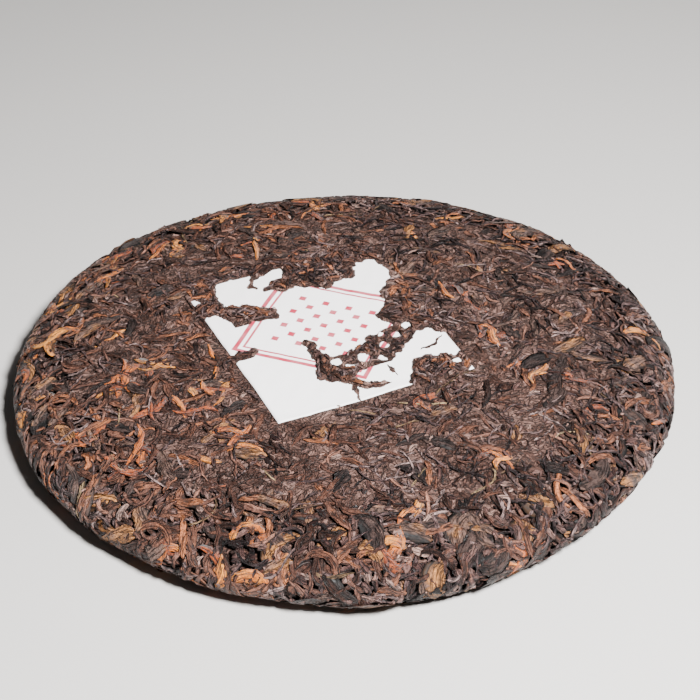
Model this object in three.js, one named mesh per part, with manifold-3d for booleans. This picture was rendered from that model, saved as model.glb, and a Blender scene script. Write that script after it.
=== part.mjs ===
// A pressed cake of pu erh tea, the usual 357 gram disc. Steamed tea leaves are knotted into a cloth
// bag and pressed under a weight: the top comes out domed, the edge round and craggy, and the
// underside flat with the dimple that the knot leaves. A paper ticket is pressed into the top, and
// leaves that were shaken over it still hide some of it.
//
// Millimetres, +Z up. The origin is on the surface that the cake lies on, below its middle.
import * as THREE from "three";
import { mergeVertices } from "three/addons/utils/BufferGeometryUtils.js";
import Module from "manifold-3d";

// The cake, measured over its pressed leaves.
const CAKE_RADIUS = 100;
const TOP_HEIGHT = 23;
const WAIST_HEIGHT = 8.5; // where the edge is widest
const FOOT_RADIUS = 84; // outer edge of the flat that the cake lies on
const DIMPLE_RADIUS = 30;
const DIMPLE_DEPTH = 7;
// The outline is not a true circle: each wave adds this many millimetres, so many times round.
const OUTLINE_WAVES = [
  { times: 1, cosine: -0.2, sine: 1.4 },
  { times: 2, cosine: 0.73, sine: 0.56 },
  { times: 3, cosine: 0.0, sine: 1.0 },
  { times: 5, cosine: 0.3, sine: -0.22 },
];

// The mass of the cake shows as rows of pressed leaves, end to end, each a low ridge with a crease
// all round it. Ridge and crease are heights above the skin. The leaves are coarser below, in the
// dimple and on the foot, where their ridges are pressed flat.
const MASS_LEAVES = {
  upper: { length: 18, width: 5.4, ridge: [-0.35, 0.35] },
  lower: { length: 28, width: 10.5, ridge: [0.3, 0.9] },
  crease: [-1.5, -0.8],
  jitter: 0.33, // how far a crease wanders, as a share of a leaf's width
};

// The ticket of thin paper: a rectangle turned in the top, its middle beside the cake's own. It
// lies in the skin, where the mass below it is pressed down, with free space all round it.
const TICKET_WIDTH = 63.7;
const TICKET_LENGTH = 78.4;
const TICKET_THICKNESS = 0.4;
const TICKET_RISE = 0.25; // its upper face above the skin
const TICKET_CENTRE = new THREE.Vector2(-6.4, 4.6);
const TICKET_TURN = THREE.MathUtils.degToRad(24.6);
const TICKET_WAVES = 0.2; // how far the leaves below it push the paper up and down
const TICKET_GRID = { across: 10, along: 12 };
const TICKET_BED = { height: -0.85, margin: 6 }; // how deep the mass lies below it, and how far round
const CLEARANCE = 0.35;

// Loose leaves fused over the mass at each place: how many, their sizes, how strongly they bend,
// and how far their middles lie below the skin.
const CROWN_LEAVES = {
  count: 36,
  length: [15, 27],
  width: [3.2, 5.6],
  thickness: [2.4, 3.0],
  bend: 1.3,
  sink: [0.2, 0.5],
};
const EDGE_LEAVES = {
  count: 18,
  length: [14, 25],
  width: [3.2, 4.8],
  thickness: [2.8, 3.6],
  bend: 2.2,
  sink: [0.1, 0.6],
};
// Those over the ticket lie on an even grid, in a mat of crumbled leaf that holds them together.
const COVER_LEAVES = {
  spacing: 8.6,
  length: [11, 16],
  width: [3.4, 4.8],
  thickness: [2.0, 2.4],
  bend: 1.0,
  sink: [-1.1, -0.8],
};
const COVER_MAT = { low: -2.4, high: 1.15 }; // its heights above the skin

// Where leaves hide the ticket: outlines across it and along it, from its own middle.
const COVERS = {
  leftEnd: [[-40, 22], [-36, 45], [-22, 37], [-23, 22], [-12, 17], [-9, 9], [-25, 9], [-32, 19]],
  farSide: [[-36, 46], [-8, 52], [42, 48], [42, 26], [26, 28], [20, 20], [10, 17], [0, 24], [-9, 32]],
  farRight: [[42, 30], [28, 22], [22, 5], [15, -4], [24, -15], [31, -18], [42, -16]],
  tear: [[-11, -4], [-6, -13], [8, -10], [20, -2], [27, -10], [16, -22], [0, -28], [6, -37], [-14, -26]],
  rightEnd: [[42, -29], [20, -26], [12, -32], [12, -45], [28, -50], [42, -45]],
};

// Seeded random numbers, so that each build lays the same leaves.
function seeded(seed) {
  let state = seed;
  return () => {
    state = (state + 0x6d2b79f5) | 0;
    let mixed = Math.imul(state ^ (state >>> 15), 1 | state);
    mixed = (mixed + Math.imul(mixed ^ (mixed >>> 7), 61 | mixed)) ^ mixed;
    return ((mixed ^ (mixed >>> 14)) >>> 0) / 2 ** 32;
  };
}

const between = (random, [low, high]) => low + (high - low) * random();

// Half of the cake's section, from the top's middle over the edge to the dimple's middle:
// x is the distance from the axis and y the height.
function meridian() {
  const QUARTER = Math.PI / 2;
  const points = [];
  const crownSteps = 14;
  for (let i = 0; i <= crownSteps; i++) {
    const angle = (QUARTER * i) / crownSteps;
    const radius = CAKE_RADIUS * Math.sqrt(Math.sin(angle));
    points.push([radius, WAIST_HEIGHT + (TOP_HEIGHT - WAIST_HEIGHT) * Math.cos(angle)]);
  }
  const turnSteps = 5;
  for (let i = 1; i <= turnSteps; i++) {
    const angle = (QUARTER * i) / turnSteps;
    const radius = FOOT_RADIUS + (CAKE_RADIUS - FOOT_RADIUS) * Math.cos(angle);
    points.push([radius, WAIST_HEIGHT * (1 - Math.sin(angle))]);
  }
  points.push([DIMPLE_RADIUS, 0]);
  const dimpleSteps = 5;
  for (let i = 1; i <= dimpleSteps; i++) {
    const share = 1 - i / dimpleSteps;
    points.push([DIMPLE_RADIUS * share, (DIMPLE_DEPTH * (1 + Math.cos(Math.PI * share))) / 2]);
  }
  return points.map(([x, y]) => new THREE.Vector2(x, y));
}

const SKIN = meridian();

// The point of the skin nearest to a place, with the direction that faces out of the cake there.
function nearestSkin(place) {
  const radius = Math.hypot(place.x, place.y);
  const seen = new THREE.Vector2(radius, place.z);
  let best = { distance: Infinity };
  for (let i = 0; i + 1 < SKIN.length; i++) {
    const step = SKIN[i + 1].clone().sub(SKIN[i]);
    const share = seen.clone().sub(SKIN[i]).dot(step) / step.lengthSq();
    const point = SKIN[i].clone().addScaledVector(step, THREE.MathUtils.clamp(share, 0, 1));
    const distance = point.distanceTo(seen);
    if (distance < best.distance) best = { distance, point, step };
  }
  const azimuth = Math.atan2(place.y, place.x);
  const turned = (x, y) => new THREE.Vector3(x * Math.cos(azimuth), x * Math.sin(azimuth), y);
  return {
    point: turned(best.point.x, best.point.y),
    outward: turned(-best.step.y, best.step.x).normalize(),
  };
}

// Widens or narrows a point's distance from the axis by the waves of the outline.
function wavyOutline(point) {
  const azimuth = Math.atan2(point.y, point.x);
  const extra = OUTLINE_WAVES.reduce(
    (sum, wave) =>
      sum + wave.cosine * Math.cos(wave.times * azimuth) + wave.sine * Math.sin(wave.times * azimuth),
    0,
  );
  const factor = 1 + extra / CAKE_RADIUS;
  return point.set(point.x * factor, point.y * factor, point.z);
}

// Applies a change to each vertex of a geometry.
function reshape(geometry, change) {
  const position = geometry.getAttribute("position");
  const point = new THREE.Vector3();
  for (let i = 0; i < position.count; i++) {
    change(point.fromBufferAttribute(position, i), i);
    position.setXYZ(i, point.x, point.y, point.z);
  }
  return geometry;
}

// A point of the top in the ticket's own directions, from its middle, and the way back.
function ontoTicket(point) {
  const flat = new THREE.Vector2(point.x, point.y).sub(TICKET_CENTRE);
  return flat.rotateAround(new THREE.Vector2(), -TICKET_TURN);
}
function fromTicket(across, along) {
  const flat = new THREE.Vector2(across, along).rotateAround(new THREE.Vector2(), TICKET_TURN);
  return flat.add(TICKET_CENTRE);
}

// Whether a point of the top is under the ticket, or nearer to it than a margin.
function nearTicket(point, margin) {
  const { x, y } = ontoTicket(point);
  const within = Math.abs(x) < TICKET_WIDTH / 2 + margin && Math.abs(y) < TICKET_LENGTH / 2 + margin;
  return within && point.z > WAIST_HEIGHT;
}

const wasm = await Module();
wasm.setup();

// A closed geometry as a solid to join and cut with.
function solidOf(geometry) {
  const bare = geometry.clone();
  bare.deleteAttribute("normal");
  bare.deleteAttribute("uv");
  const merged = mergeVertices(bare, 1e-3);
  return new wasm.Manifold(
    new wasm.Mesh({
      numProp: 3,
      vertProperties: merged.attributes.position.array,
      triVerts: new Uint32Array(merged.index.array),
    }),
  );
}

// A solid as a geometry to draw.
function geometryOf(solid) {
  const mesh = solid.getMesh();
  const geometry = new THREE.BufferGeometry();
  geometry.setAttribute("position", new THREE.BufferAttribute(mesh.vertProperties, mesh.numProp));
  geometry.setIndex(new THREE.BufferAttribute(mesh.triVerts, 1));
  geometry.computeVertexNormals();
  return geometry;
}

const joined = (solids) => solids.reduce((whole, solid) => whole.add(solid));

// The skin's lengths from the top's middle, at which rows of the mass begin and end.
function rowEnds() {
  const starts = [0];
  for (let i = 1; i < SKIN.length; i++) starts.push(starts[i - 1] + SKIN[i].distanceTo(SKIN[i - 1]));
  const foot = starts[SKIN.findIndex((point) => point.y < 1e-9)];
  const divide = (from, to, width) => {
    const count = Math.round((to - from) / width);
    return Array.from({ length: count }, (_, i) => from + ((i + 1) * (to - from)) / count);
  };
  const { upper, lower } = MASS_LEAVES;
  return [0, ...divide(0, foot, upper.width), ...divide(foot, starts.at(-1), lower.width)];
}

// The skin's point at a length from the top's middle, raised by a height and turned to an azimuth.
function onSkin(distance, azimuth, height) {
  let left = distance;
  let i = 1;
  while (i < SKIN.length - 1 && left > SKIN[i].distanceTo(SKIN[i - 1])) {
    left -= SKIN[i].distanceTo(SKIN[i - 1]);
    i++;
  }
  const step = SKIN[i].clone().sub(SKIN[i - 1]).normalize();
  const point = SKIN[i - 1].clone().addScaledVector(step, left);
  point.add(new THREE.Vector2(-step.y, step.x).multiplyScalar(height));
  const radius = Math.max(point.x, 0);
  return new THREE.Vector3(radius * Math.cos(azimuth), radius * Math.sin(azimuth), point.y);
}

// The mass of the cake as one closed relief. Each row has its own number of leaves, so the creases
// between two rows carry the corners of both.
function cakeMass(random) {
  const { upper, lower, crease, jitter } = MASS_LEAVES;
  const FULL_TURN = Math.PI * 2;
  const vertices = [];
  const faces = [];
  // Adds the skin's point at a distance and azimuth, raised by a height, and gives its number.
  const addVertex = (distance, azimuth, height) => {
    const inBed = nearTicket(onSkin(distance, azimuth, 0), TICKET_BED.margin);
    const raised = inBed ? Math.min(height, 0) / 2 + TICKET_BED.height : height;
    return vertices.push(wavyOutline(onSkin(distance, azimuth, raised))) - 1;
  };
  const ends = rowEnds();
  const last = ends.length - 1;
  const width = (k) => (k < last ? ends[k + 1] - ends[k] : ends[k] - ends[k - 1]);
  const kindOf = (k) => (width(k) > (upper.width + lower.width) / 2 ? lower : upper);

  const rows = ends.slice(0, -1).map((start, k) => {
    const middle = onSkin(start + width(k) / 2, 0, 0).x;
    const count = Math.max(5, Math.round((FULL_TURN * middle) / kindOf(k).length));
    const phase = random();
    return Array.from({ length: count }, (_, i) => ((i + phase) / count) % 1).sort((a, b) => a - b);
  });

  // The corners on each crease, as shares of a full turn. Corners that nearly meet become one.
  const creases = ends.map((distance, k) => {
    const shares = [...(rows[k - 1] ?? []), ...(rows[k] ?? [])].sort((a, b) => a - b);
    const apart = 2.2 / (FULL_TURN * Math.max(onSkin(distance, 0, 0).x, 1));
    const kept = shares.filter((share, i) => i === 0 || share - shares[i - 1] > apart);
    const isPole = k === 0 || k === last;
    const corners = (isPole ? [0] : kept).map((share) => {
      const wander = isPole ? 0 : (random() * 2 - 1) * jitter * Math.min(width(k), width(k - 1));
      const height = between(random, crease);
      return { share, vertex: addVertex(distance + wander, share * FULL_TURN, height) };
    });
    return corners;
  });

  // The corners of a crease from one share of the turn to another, both included.
  const chain = (corners, from, to) => {
    const gap = (share) => ((share % 1) + 1) % 1;
    const nearest = (share) =>
      corners.reduce((best, corner, i) => {
        const off = Math.min(gap(corner.share - share), gap(share - corner.share));
        return off < best.off ? { off, i } : best;
      }, { off: 2 }).i;
    const first = nearest(from);
    const final = nearest(to);
    const found = [corners[first]];
    for (let i = first; i !== final; ) {
      i = (i + 1) % corners.length;
      found.push(corners[i]);
    }
    return found;
  };

  rows.forEach((row, k) => {
    row.forEach((from, i) => {
      const to = row[(i + 1) % row.length] + (i + 1 === row.length ? 1 : 0);
      const at = (share) => from + (to - from) * share;
      const ridgePoint = (share) =>
        addVertex(
          ends[k] + width(k) * (0.35 + random() * 0.3),
          at(share) * FULL_TURN,
          between(random, kindOf(k).ridge),
        );
      const near = ridgePoint(0.18 + random() * 0.12);
      const far = ridgePoint(0.7 + random() * 0.12);
      // Each side of the ridge is a fan from its near end, one face across, and a fan from its far end.
      const side = (corners, wind) => {
        const half = Math.floor(corners.length / 2);
        corners.slice(1).forEach((corner, j) => {
          wind(corners[j].vertex, corner.vertex, j < half ? near : far);
        });
        wind(corners[Math.min(half, corners.length - 1)].vertex, far, near);
      };
      const outer = chain(creases[k + 1], from, to);
      const inner = chain(creases[k], from, to);
      side(outer, (a, b, c) => faces.push(a, b, c));
      side(inner, (a, b, c) => faces.push(a, c, b));
      faces.push(inner[0].vertex, outer[0].vertex, near);
      faces.push(outer.at(-1).vertex, inner.at(-1).vertex, far);
    });
  });
  const geometry = new THREE.BufferGeometry().setFromPoints(vertices);
  geometry.setIndex(faces);
  return geometry;
}

// One tea leaf as pressing leaves it: rolled into a slim spindle with a ridge along its back, bent
// in the surface of the cake and twisted about its own length.
function leaf({ place, heading, length, width, thickness, bend, twist, height }) {
  const spindle = new THREE.SphereGeometry(1, 4, 3);
  const { point: middle, outward } = nearestSkin(place);
  const aside = new THREE.Vector3(-middle.y, middle.x, 0);
  if (aside.lengthSq() < 1e-6) aside.set(0, 1, 0);
  aside.normalize();
  const down = aside.clone().cross(outward);
  const halfBend = Math.abs(bend) < 0.05 ? 0.05 : bend / 2;
  return reshape(spindle, (point) => {
    const turn = halfBend * point.y;
    const roll = twist * point.y;
    const across = (point.x * Math.cos(roll) * width - point.z * Math.sin(roll) * thickness) / 2;
    const rise = (point.x * Math.sin(roll) * width + point.z * Math.cos(roll) * thickness) / 2;
    const along = ((length / 2) * Math.sin(turn)) / halfBend - across * Math.sin(turn);
    const sideways = ((length / 2) * (1 - Math.cos(turn))) / halfBend + across * Math.cos(turn);
    const seen = middle
      .clone()
      .addScaledVector(down, along * Math.cos(heading) + sideways * Math.sin(heading))
      .addScaledVector(aside, along * Math.sin(heading) - sideways * Math.cos(heading));
    const skin = nearestSkin(seen);
    wavyOutline(point.copy(skin.point).addScaledVector(skin.outward, height + rise));
  });
}

// A leaf of random size and turn for one place on the cake.
function randomLeaf(random, kind, place, heading = random() * Math.PI * 2) {
  return leaf({
    place,
    heading,
    length: between(random, kind.length),
    width: between(random, kind.width),
    thickness: between(random, kind.thickness),
    bend: kind.bend * (random() * 2 - 1),
    twist: random() * 1.2 - 0.6,
    height: -between(random, kind.sink),
  });
}

const GOLDEN_ANGLE = Math.PI * (3 - Math.sqrt(5));

// Places spread evenly over a ring of the cake, by the rule that sunflower seeds follow.
function* spread(count, inner, outer, height) {
  for (let i = 0; i < count; i++) {
    const radius = Math.sqrt(THREE.MathUtils.lerp(inner ** 2, outer ** 2, (i + 0.5) / count));
    const azimuth = i * GOLDEN_ANGLE;
    yield new THREE.Vector3(radius * Math.cos(azimuth), radius * Math.sin(azimuth), height);
  }
}

// Places round the edge, in three rows: on its shoulder, at its widest and where it turns under.
function* roundTheEdge(random, count) {
  const rows = [
    { radius: 93, height: 16.5 },
    { radius: 100, height: 9.5 },
    { radius: 95, height: 3 },
  ];
  for (let i = 0; i < count; i++) {
    const row = rows[i % rows.length];
    const azimuth = ((i + random() * 0.8) / count) * Math.PI * 2;
    yield new THREE.Vector3(
      row.radius * Math.cos(azimuth),
      row.radius * Math.sin(azimuth),
      row.height + random() * 2 - 1,
    );
  }
}

// The leaves that lie over the mass, clear of the ticket.
function looseLeaves(random) {
  const crown = [...spread(CROWN_LEAVES.count, 0, CAKE_RADIUS - 8, TOP_HEIGHT)]
    .filter((place) => !nearTicket(place, CROWN_LEAVES.length[1] / 2))
    .map((place) => randomLeaf(random, CROWN_LEAVES, place));
  const edge = [...roundTheEdge(random, EDGE_LEAVES.count)].map((place) =>
    randomLeaf(random, EDGE_LEAVES, place),
  );
  return [...crown, ...edge];
}

// A sheet that follows the top of the cake: the ticket itself, or the room that it needs. Its two
// faces lie between the given heights above the skin, and both are split into triangles alike.
function sheet(margin, low, high) {
  const { across, along } = TICKET_GRID;
  const size = [TICKET_WIDTH + 2 * margin, TICKET_LENGTH + 2 * margin];
  const laid = (height) =>
    reshape(new THREE.PlaneGeometry(...size, across, along), (point) => {
      const wave = Math.sin(point.x * 0.27 + 1) * Math.cos(point.y * 0.21) * TICKET_WAVES;
      const flat = fromTicket(point.x, point.y);
      const skin = nearestSkin(new THREE.Vector3(flat.x, flat.y, TOP_HEIGHT));
      point.set(flat.x, flat.y, skin.point.z + height + wave);
    });
  const top = laid(high);
  const bottom = laid(low);
  const count = top.getAttribute("position").count;
  const faces = [...top.index.array];
  for (let i = 0; i < top.index.count; i += 3) {
    const [a, b, c] = top.index.array.slice(i, i + 3);
    faces.push(c + count, b + count, a + count);
  }
  const columns = across + 1;
  const rim = [
    ...Array.from({ length: across }, (_, i) => i),
    ...Array.from({ length: along }, (_, i) => i * columns + across),
    ...Array.from({ length: across }, (_, i) => along * columns + across - i),
    ...Array.from({ length: along }, (_, i) => (along - i) * columns),
  ];
  rim.forEach((here, i) => {
    const next = rim[(i + 1) % rim.length];
    faces.push(here, next, next + count, here, next + count, here + count);
  });
  const geometry = new THREE.BufferGeometry();
  const points = [...top.getAttribute("position").array, ...bottom.getAttribute("position").array];
  geometry.setAttribute("position", new THREE.Float32BufferAttribute(points, 3));
  geometry.setIndex(faces);
  geometry.computeVertexNormals();
  return geometry;
}

function isInside([x, y], outline) {
  let inside = false;
  outline.forEach(([x1, y1], i) => {
    const [x2, y2] = outline[(i + 1) % outline.length];
    if (y1 > y !== y2 > y && x < ((x2 - x1) * (y - y1)) / (y2 - y1) + x1) inside = !inside;
  });
  return inside;
}

// The leaves that lie over the ticket, on an even grid, turned so that both ends stay inside their
// outline. A spot with no room for one is left bare.
function coveringLeaves(random) {
  const { spacing, length } = COVER_LEAVES;
  const TRIES = 14;
  const leaves = [];
  for (const outline of Object.values(COVERS)) {
    for (let across = -42; across <= 42; across += spacing) {
      for (let along = -50; along <= 52; along += spacing) {
        const spot = [across + random() * 2 - 1, along + random() * 2 - 1];
        const end = (turn, way) => [
          spot[0] + (way * Math.cos(turn) * length[0]) / 2,
          spot[1] + (way * Math.sin(turn) * length[0]) / 2,
        ];
        const turns = Array.from({ length: TRIES }, () => random() * Math.PI);
        const fits = (turn) => [spot, end(turn, 1), end(turn, -1)].every((p) => isInside(p, outline));
        const turn = turns.find(fits);
        if (turn === undefined) continue;
        const flat = fromTicket(...spot);
        const place = new THREE.Vector3(flat.x, flat.y, TOP_HEIGHT);
        const azimuth = Math.atan2(flat.y, flat.x);
        leaves.push(randomLeaf(random, COVER_LEAVES, place, turn + TICKET_TURN - azimuth));
      }
    }
  }
  return leaves;
}

// The crumbled leaf inside one of the outlines: over the paper it bridges from the mass beside it.
function coverMat(outline) {
  const { low, high } = COVER_MAT;
  const shape = new THREE.Shape(outline.map(([across, along]) => new THREE.Vector2(across, along)));
  const plate = new THREE.ExtrudeGeometry(shape, { depth: high - low, bevelEnabled: false });
  return reshape(plate, (point) => {
    const flat = fromTicket(point.x, point.y);
    const skin = nearestSkin(new THREE.Vector3(flat.x, flat.y, TOP_HEIGHT));
    point.set(flat.x, flat.y, skin.point.z + low + point.z);
  });
}

// The whole cake: mass and leaves in one, with the room for the ticket kept free and the foot
// pressed flat.
function teaCake() {
  const random = seeded(357);
  const pressed = joined([cakeMass(random), ...looseLeaves(random)].map(solidOf));
  const roomFloor = TICKET_RISE - TICKET_THICKNESS - CLEARANCE;
  const room = solidOf(sheet(CLEARANCE, roomFloor, TICKET_RISE + CLEARANCE));
  const mats = Object.values(COVERS).map(coverMat);
  const covering = joined([...mats, ...coveringLeaves(random)].map(solidOf)).subtract(room);
  const above = new THREE.BoxGeometry(3 * CAKE_RADIUS, 3 * CAKE_RADIUS, 3 * TOP_HEIGHT);
  above.translate(0, 0, 1.5 * TOP_HEIGHT);
  const whole = pressed.add(covering).intersect(solidOf(above));
  const pieces = whole.decompose().sort((a, b) => b.volume() - a.volume());
  return geometryOf(pieces[0]);
}

const cake = new THREE.Mesh(
  teaCake(),
  new THREE.MeshStandardMaterial({ color: 0x5b4238, roughness: 0.78, metalness: 0 }),
);
cake.name = "tea_cake";

const ticket = new THREE.Mesh(
  sheet(0, TICKET_RISE - TICKET_THICKNESS, TICKET_RISE),
  new THREE.MeshStandardMaterial({ color: 0xf4f0ee, roughness: 0.9, metalness: 0 }),
);
ticket.name = "paper_ticket";

const group = new THREE.Group();
group.add(cake, ticket);

export default group;
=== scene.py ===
"""A pressed cake of pu erh tea with a paper ticket in its top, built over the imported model.

The leaves are worked out in millimetres and turned to metres as each mesh is made.
"""

import math
from functools import partial

import bpy
import numpy as np
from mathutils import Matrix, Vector


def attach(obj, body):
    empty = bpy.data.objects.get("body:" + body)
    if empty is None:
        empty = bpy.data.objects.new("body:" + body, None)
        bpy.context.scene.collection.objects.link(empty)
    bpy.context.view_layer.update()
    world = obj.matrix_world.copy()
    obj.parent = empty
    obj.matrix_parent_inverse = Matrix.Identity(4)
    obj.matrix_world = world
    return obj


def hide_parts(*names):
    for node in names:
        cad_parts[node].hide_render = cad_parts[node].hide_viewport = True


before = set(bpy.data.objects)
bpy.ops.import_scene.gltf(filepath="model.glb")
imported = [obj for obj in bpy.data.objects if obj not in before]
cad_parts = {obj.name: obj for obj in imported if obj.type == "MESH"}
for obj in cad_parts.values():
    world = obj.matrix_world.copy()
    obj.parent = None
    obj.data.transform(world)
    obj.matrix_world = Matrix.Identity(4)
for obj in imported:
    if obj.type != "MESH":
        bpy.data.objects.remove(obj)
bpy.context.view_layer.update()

# The core: tea dust and broken leaf that the press packs solid under the whole leaves. Between
# them it shows as a dark, rough floor. Its shape is the cake's own skin, a domed top, a round edge
# and a flat foot with a dimple, sunk by the depth of the leaves that lie over it.
MM = 0.001
CAKE_RADIUS = 100
TOP_HEIGHT = 23
WAIST_HEIGHT = 8.5
FOOT_RADIUS = 84
DIMPLE_RADIUS = 30
DIMPLE_DEPTH = 7
# How far each wave pushes the outline out, as (times round, cosine part, sine part).
OUTLINE_WAVES = [(1, -0.2, 1.4), (2, 0.73, 0.56), (3, 0.0, 1.0), (5, 0.3, -0.22)]
TICKET_SIZE = np.array([63.7, 78.4])
TICKET_CENTRE = np.array([-6.4, 4.6])
TICKET_TURN = math.radians(24.6)
CORE_DEPTH = 0.45
CORE_DEPTH_IN_EDGE = 1.3
CORE_DEEPENS = (74, 90)  # the distances from the axis over which it deepens towards the edge
CORE_LEVEL_BELOW = 1  # it doesn't deepen lower than this, over the flat foot
CORE_DEPTH_UNDER_TICKET = 1.0
CORE_RISES_OVER = 3  # it reaches its depth under the ticket this far inside the ticket's edges
SHALLOWEST_CORE = 0.1
SHALLOWEST_CORE_UNDER_TICKET = 0.75
CORE_RELIEF = [(0.22, 7, 11), (0.25, 3.4, 12)]  # lumps, as (height, size, seed)
CORE_STEP = 1.7
# Points along each stretch of the cake's section.
CROWN_POINTS = 240
UNDER_POINTS = 30
FOOT_POINTS = 50
DIMPLE_POINTS = 40
LUMP_WAVES = 9
LUMP_WAVE_SIZES = (0.6, 1.3)
LUMP_SCALE = 3.2  # brings the sum of the waves to between about -1 and 1
FULL_TURN = 6.28  # radians, near enough for what is turned at random


def skin_profile():
    """Half of the cake's section as points (radius, height), from the top's middle to the dimple's."""
    crown = np.linspace(0, math.pi / 2, CROWN_POINTS)
    dome_height = WAIST_HEIGHT + (TOP_HEIGHT - WAIST_HEIGHT) * np.cos(crown)
    dome = np.stack([CAKE_RADIUS * np.sqrt(np.sin(crown)), dome_height], 1)
    turn = np.linspace(0, math.pi / 2, UNDER_POINTS)[1:]
    under_radius = FOOT_RADIUS + (CAKE_RADIUS - FOOT_RADIUS) * np.cos(turn)
    under = np.stack([under_radius, WAIST_HEIGHT * (1 - np.sin(turn))], 1)
    foot_radius = np.linspace(FOOT_RADIUS, DIMPLE_RADIUS, FOOT_POINTS)[1:]
    foot = np.stack([foot_radius, np.zeros(len(foot_radius))], 1)
    inward = np.linspace(1, 0, DIMPLE_POINTS)[1:]
    dimple_height = DIMPLE_DEPTH * (1 + np.cos(math.pi * inward)) / 2
    dimple = np.stack([DIMPLE_RADIUS * inward, dimple_height], 1)
    return np.concatenate([dome, under, foot, dimple])


profile = skin_profile()
steps = np.linalg.norm(np.diff(profile, axis=0), axis=1)
reach = np.concatenate([[0], np.cumsum(steps)])
whole_reach = reach[-1]
along_profile = np.gradient(profile, reach, axis=0)
along_profile /= np.linalg.norm(along_profile, axis=1)[:, None]


def on_skin(s, azimuth):
    """Points of the skin, the direction out of the cake and the one down its section."""
    radius, height = [np.interp(s, reach, profile[:, i]) for i in (0, 1)]
    down_r, down_z = [np.interp(s, reach, along_profile[:, i]) for i in (0, 1)]
    c, d = np.cos(azimuth), np.sin(azimuth)
    point = np.stack([radius * c, radius * d, height], -1)
    outward = np.stack([-down_z * c, -down_z * d, down_r], -1)
    down = np.stack([down_r * c, down_r * d, down_z], -1)
    return point, outward, down


def nearest_on_skin(points):
    """The length from the top's middle and the azimuth of the skin points nearest to these."""
    radius = np.hypot(points[..., 0], points[..., 1])
    gap_r = radius[..., None] - profile[:, 0]
    gap_z = points[..., 2, None] - profile[:, 1]
    best = np.argmin(gap_r**2 + gap_z**2, axis=-1)
    gap = np.stack([radius, points[..., 2]], -1) - profile[best]
    ahead = (gap * along_profile[best]).sum(-1)
    s = np.clip(reach[best] + ahead, 0, whole_reach)
    return s, np.arctan2(points[..., 1], points[..., 0])


def wavy_outline(points):
    """Widens or narrows the distance from the axis by the waves of the outline."""
    azimuth = np.arctan2(points[..., 1], points[..., 0])
    extra = sum(c * np.cos(n * azimuth) + s * np.sin(n * azimuth) for n, c, s in OUTLINE_WAVES)
    shaped = points.copy()
    shaped[..., :2] *= (1 + extra / CAKE_RADIUS)[..., None]
    return shaped


def on_ticket(points):
    """Points of the top in the ticket's own directions, across it and along it, from its middle."""
    flat = points[..., :2] - TICKET_CENTRE
    c, s = math.cos(TICKET_TURN), math.sin(TICKET_TURN)
    return np.stack([flat[..., 0] * c + flat[..., 1] * s, flat[..., 1] * c - flat[..., 0] * s], -1)


def inside_ticket(points, margin):
    """How far points of the top are inside the ticket's edges with a margin added; below 0 outside."""
    gap = (TICKET_SIZE / 2 + margin - np.abs(on_ticket(points))).min(-1)
    return np.where(points[..., 2] > WAIST_HEIGHT, gap, -1.0)


def lumps(points, size, seed):
    """Smooth unevenness between about -1 and 1, with lumps of that size."""
    waves = np.random.default_rng(seed)
    total = np.zeros(points.shape[:-1])
    for _ in range(LUMP_WAVES):
        direction = waves.normal(size=3)
        direction *= 2 * math.pi / size / np.linalg.norm(direction) * waves.uniform(*LUMP_WAVE_SIZES)
        total += np.sin(points @ direction + waves.uniform(0, FULL_TURN))
    return total / LUMP_SCALE


def mesh_piece(name, vertices, loops, sizes, attributes):
    """A mesh object from points in millimetres, the corners of its faces and values at its points."""
    mesh = bpy.data.meshes.new(name)
    mesh.vertices.add(len(vertices))
    mesh.vertices.foreach_set("co", (vertices * MM).astype(np.float32).ravel())
    mesh.loops.add(len(loops))
    mesh.loops.foreach_set("vertex_index", loops.astype(np.int32))
    mesh.polygons.add(len(sizes))
    starts = np.concatenate([[0], np.cumsum(sizes)[:-1]])
    mesh.polygons.foreach_set("loop_start", starts.astype(np.int32))
    mesh.polygons.foreach_set("use_smooth", np.ones(len(sizes), bool))
    mesh.update(calc_edges=True)
    mesh.validate()
    for key, values in attributes.items():
        is_vector = values.ndim == 2
        layer = mesh.attributes.new(key, "FLOAT_VECTOR" if is_vector else "FLOAT", "POINT")
        layer.data.foreach_set("vector" if is_vector else "value", values.astype(np.float32).ravel())
    piece = bpy.data.objects.new(name, mesh)
    bpy.context.scene.collection.objects.link(piece)
    return piece


def core_depth(points):
    """How far the core lies below the skin. It comes close under the ticket, which rests on it."""
    under = np.clip(inside_ticket(points, 0) / CORE_RISES_OVER, 0, 1)
    out = np.hypot(points[..., 0], points[..., 1])
    start, end = CORE_DEEPENS
    edge = np.clip((out - start) / (end - start), 0, 1) * (points[..., 2] > CORE_LEVEL_BELOW)
    depth = CORE_DEPTH + (CORE_DEPTH_IN_EDGE - CORE_DEPTH) * edge
    depth = depth + (CORE_DEPTH_UNDER_TICKET - depth) * under
    least = SHALLOWEST_CORE + (SHALLOWEST_CORE_UNDER_TICKET - SHALLOWEST_CORE) * under
    for height, size, seed in CORE_RELIEF:
        depth = depth + height * lumps(points, size, seed)
    return np.maximum(depth, least)


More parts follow.
